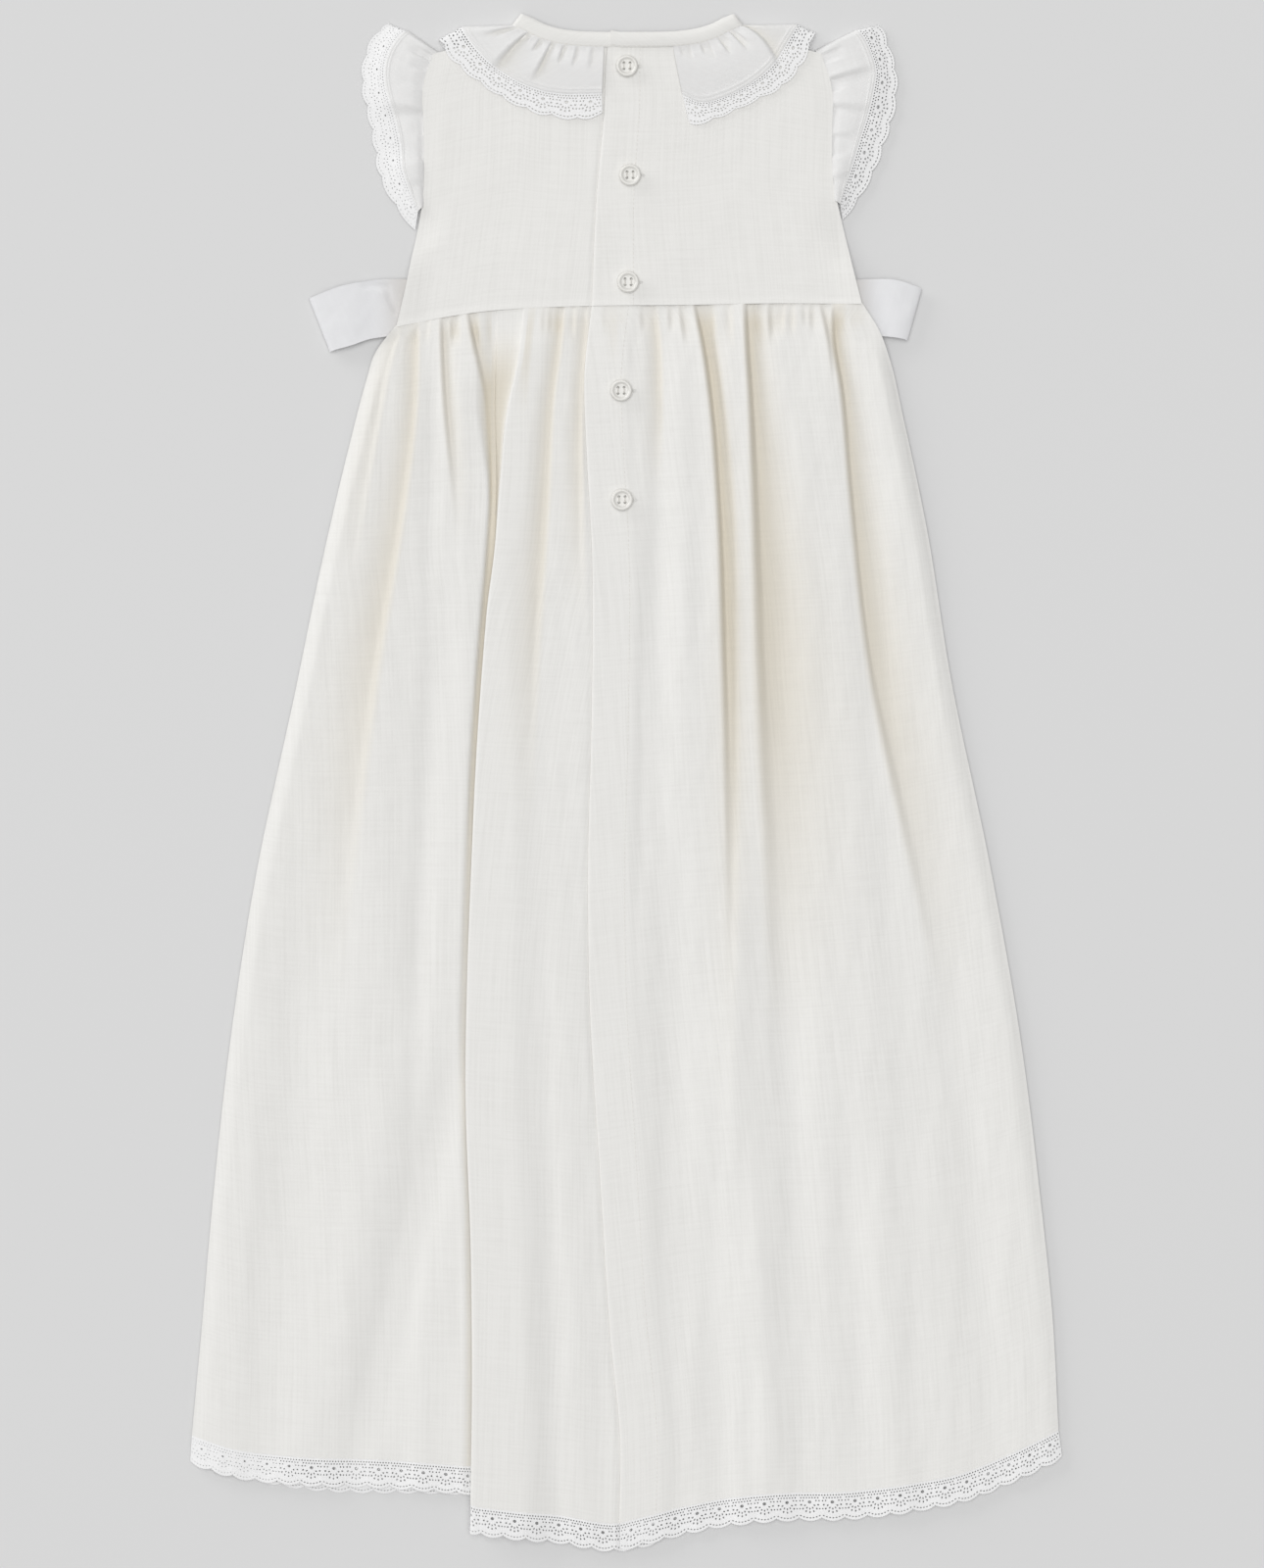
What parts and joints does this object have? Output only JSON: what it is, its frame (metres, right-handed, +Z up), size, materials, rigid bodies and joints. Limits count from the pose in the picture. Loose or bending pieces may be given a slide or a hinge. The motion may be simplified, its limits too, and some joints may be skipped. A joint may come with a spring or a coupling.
{
  "type": "christening gown",
  "caption": "Baby's ivory linen christening gown laid flat, back up: gathered skirt, frilled collar and armholes, lace edges, ribbon loops, buttoned back.",
  "frame": {"origin": "on the surface under the middle of the gown's bounding box", "axes": "the gown lies on its front: +Z up out of its back, +Y towards the neck, +X to the right of the back as seen from above"},
  "size_m": [0.4622, 0.8148, 0.0098],
  "materials": {
    "linen": "ivory plain-weave linen, matt",
    "frill_cotton": "fine white cotton, matt",
    "lace": "white cotton lace with a scalloped edge",
    "ribbon": "white woven ribbon, low sheen",
    "button": "pearly white, semi-gloss"
  },
  "bodies": {
    "root": {"bodice_front": "linen", "bodice_back_left": "linen", "bodice_back_right": "linen", "skirt_front": "linen", "skirt_back_left": "linen", "skirt_back_right": "linen", "neckband": "linen", "collar_left": "linen", "collar_right": "linen", "sleeve_frill_left": "frill_cotton", "sleeve_frill_right": "frill_cotton", "collar_lace_left": "lace", "collar_lace_right": "lace", "sleeve_lace_left": "lace", "sleeve_lace_right": "lace", "hem_lace_back_left": "lace", "hem_lace_back_right": "lace", "hem_lace_front": "lace", "ribbon_left": "ribbon", "ribbon_right": "ribbon", "button_1": "button", "button_2": "button", "button_3": "button", "button_4": "button", "button_5": "button"}
  },
  "joints": []
}
